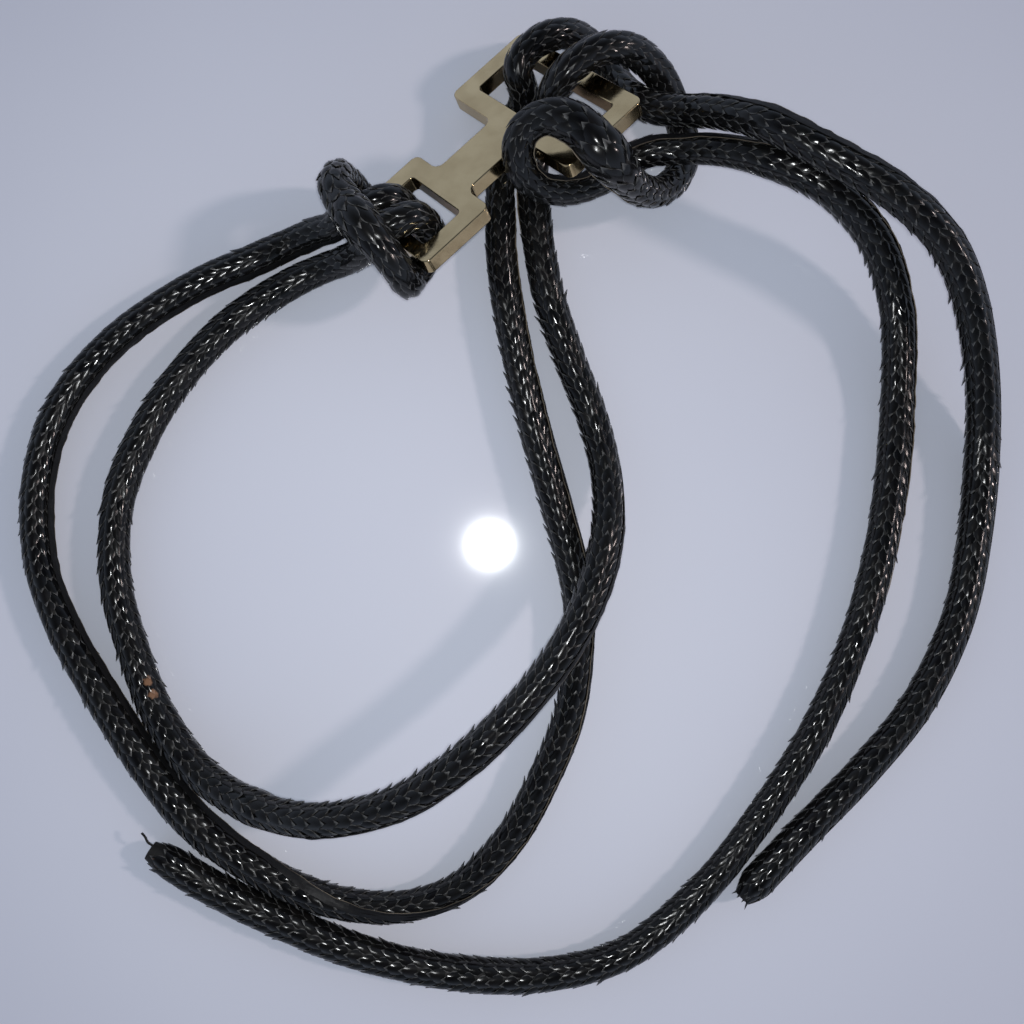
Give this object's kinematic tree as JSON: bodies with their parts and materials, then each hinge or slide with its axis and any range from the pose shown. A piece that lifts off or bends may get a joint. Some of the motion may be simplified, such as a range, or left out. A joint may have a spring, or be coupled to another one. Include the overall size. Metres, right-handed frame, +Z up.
{
  "type": "knotted leather cord belt",
  "caption": "Doubled rolled snakeskin leather cord hitched to the small ring of a cast buckle plate and knotted round its wide ring, with loose free ends.",
  "frame": {"origin": "on the surface the belt lies on, under the middle of the whole belt as laid out", "axes": "+Z up from the surface, +X to the picture's right, +Y to the picture's top"},
  "size_m": [0.3254, 0.321, 0.0477],
  "materials": {
    "buckle_metal": "polished gold-tone plating, lightly scratched, with softened edges",
    "python_leather": "glossy black with lifted overlapping scales and thin grey scale edges"
  },
  "bodies": {
    "root": {"buckle": "buckle_metal", "hitch_cord": "python_leather", "waist_cord_outer": "python_leather", "waist_cord_inner": "python_leather", "knot_cord_arch": "python_leather", "knot_cord_loop": "python_leather", "tail_cord_outer": "python_leather", "tail_cord_inner": "python_leather"}
  },
  "joints": []
}
